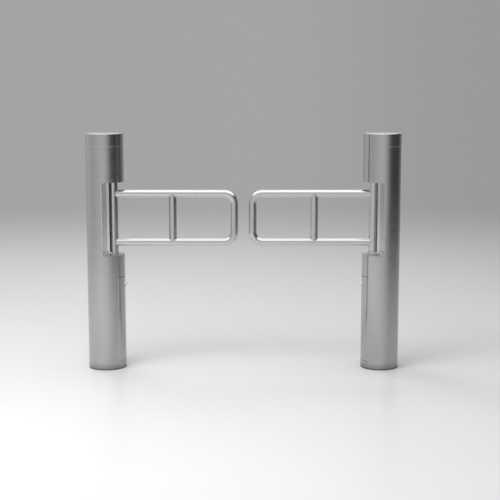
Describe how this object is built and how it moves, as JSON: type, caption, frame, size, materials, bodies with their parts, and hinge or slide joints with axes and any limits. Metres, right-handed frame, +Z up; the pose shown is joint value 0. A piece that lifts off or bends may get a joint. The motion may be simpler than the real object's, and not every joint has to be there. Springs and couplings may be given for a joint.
{
  "type": "visitor counter turnstile",
  "caption": "Swing-arm turnstile: round steel posts with motor-driven tubular gate arms in side notches, counting encoders, end stops and lockable access doors.",
  "frame": {"origin": "on the floor, midway between the posts", "axes": "+X from the left post to the right post, across the lane; +Y along the lane, away from the approaching visitor; +Z up"},
  "size_m": [1.328, 0.16, 1],
  "materials": {
    "satin_steel": "satin, ground in fine rings round the tube",
    "arm_steel": "fine satin, ground in rings round the tube, brighter than the posts",
    "polished_steel": "turned and polished",
    "zinc_plate": "zinc plated sheet and machined steel",
    "machined_steel": "machined, lightly oiled",
    "bearing_steel": "ground bearing steel",
    "screw_steel": "bright zinc",
    "lock_chrome": "chrome plated",
    "motor_paint": "black enamel",
    "encoder_black": "black etched disc",
    "black_plastic": "moulded",
    "circuit_board": "solder mask",
    "supply_cage": "perforated cage",
    "terminal_grey": "moulded",
    "stop_rubber": "matte"
  },
  "bodies": {
    "posts": {"post_tube_left": "satin_steel", "notch_liner_left": "satin_steel", "base_flange_left": "zinc_plate", "top_lid_left": "satin_steel", "hinge_collar_left": "polished_steel", "motor_bracket_left": "zinc_plate", "gear_motor_left": "motor_paint", "encoder_sensor_left": "black_plastic", "electronics_tray_left": "zinc_plate", "control_board_left": "circuit_board", "power_supply_left": "supply_cage", "terminal_block_left": "terminal_grey", "post_tube_right": "satin_steel", "notch_liner_right": "satin_steel", "base_flange_right": "zinc_plate", "top_lid_right": "satin_steel", "hinge_collar_right": "polished_steel", "motor_bracket_right": "zinc_plate", "gear_motor_right": "motor_paint", "encoder_sensor_right": "black_plastic", "electronics_tray_right": "zinc_plate", "control_board_right": "circuit_board", "power_supply_right": "supply_cage", "terminal_block_right": "terminal_grey", "cable_glands": "black_plastic", "bearing_housings": "zinc_plate", "bearings": "bearing_steel", "bracket_pillars": "zinc_plate", "stop_buffers": "stop_rubber", "door_keepers": "zinc_plate", "lid_screws": "screw_steel", "housing_screws": "screw_steel"},
    "left_arm": {"hinge_tube_left": "arm_steel", "hinge_hubs_left": "zinc_plate", "arm_loop_left": "arm_steel", "arm_mid_bar_left": "arm_steel", "drive_shaft_left": "machined_steel", "driven_gear_left": "machined_steel", "encoder_disc_left": "encoder_black", "stop_arm_left": "machined_steel"},
    "left_pinion": {"motor_pinion_left": "machined_steel"},
    "left_door": {"door_panel_left": "satin_steel", "lock_barrel_left": "lock_chrome", "lock_nut_left": "screw_steel"},
    "left_lock": {"lock_plug_left": "lock_chrome", "lock_cam_left": "zinc_plate"},
    "right_arm": {"hinge_tube_right": "arm_steel", "hinge_hubs_right": "zinc_plate", "arm_loop_right": "arm_steel", "arm_mid_bar_right": "arm_steel", "drive_shaft_right": "machined_steel", "driven_gear_right": "machined_steel", "encoder_disc_right": "encoder_black", "stop_arm_right": "machined_steel"},
    "right_pinion": {"motor_pinion_right": "machined_steel"},
    "right_door": {"door_panel_right": "satin_steel", "lock_barrel_right": "lock_chrome", "lock_nut_right": "screw_steel"},
    "right_lock": {"lock_plug_right": "lock_chrome", "lock_cam_right": "zinc_plate"}
  },
  "joints": [
    {"name": "left_arm_swing", "type": "hinge", "parent": "posts", "child": "left_arm", "pos_m": [-0.549, 0, 0.64], "axis": [0, 0, 1], "range_deg": [-90, 90]},
    {"name": "left_pinion_spin", "type": "hinge", "parent": "posts", "child": "left_pinion", "pos_m": [-0.6015, 0, 0.832], "axis": [0, 0, 1], "range_deg": [-261, 261]},
    {"name": "left_door_tilt", "type": "hinge", "parent": "posts", "child": "left_door", "pos_m": [-0.504, 0, 0.0345], "axis": [0, 1, 0], "range_deg": [0, 30]},
    {"name": "left_lock_turn", "type": "hinge", "parent": "left_door", "child": "left_lock", "pos_m": [-0.524, 0, 0.3585], "axis": [1, 0, 0], "range_deg": [0, 90]},
    {"name": "right_arm_swing", "type": "hinge", "parent": "posts", "child": "right_arm", "pos_m": [0.549, 0, 0.64], "axis": [0, 0, 1], "range_deg": [-90, 90]},
    {"name": "right_pinion_spin", "type": "hinge", "parent": "posts", "child": "right_pinion", "pos_m": [0.6015, 0, 0.832], "axis": [0, 0, 1], "range_deg": [-261, 261]},
    {"name": "right_door_tilt", "type": "hinge", "parent": "posts", "child": "right_door", "pos_m": [0.504, 0, 0.0345], "axis": [0, -1, 0], "range_deg": [0, 30]},
    {"name": "right_lock_turn", "type": "hinge", "parent": "right_door", "child": "right_lock", "pos_m": [0.524, 0, 0.3585], "axis": [-1, 0, 0], "range_deg": [0, 90]}
  ],
  "couplings": [
    {"joint": "left_pinion_spin", "follows": "left_arm_swing", "ratio": -2.8889},
    {"joint": "right_pinion_spin", "follows": "right_arm_swing", "ratio": -2.8889}
  ]
}
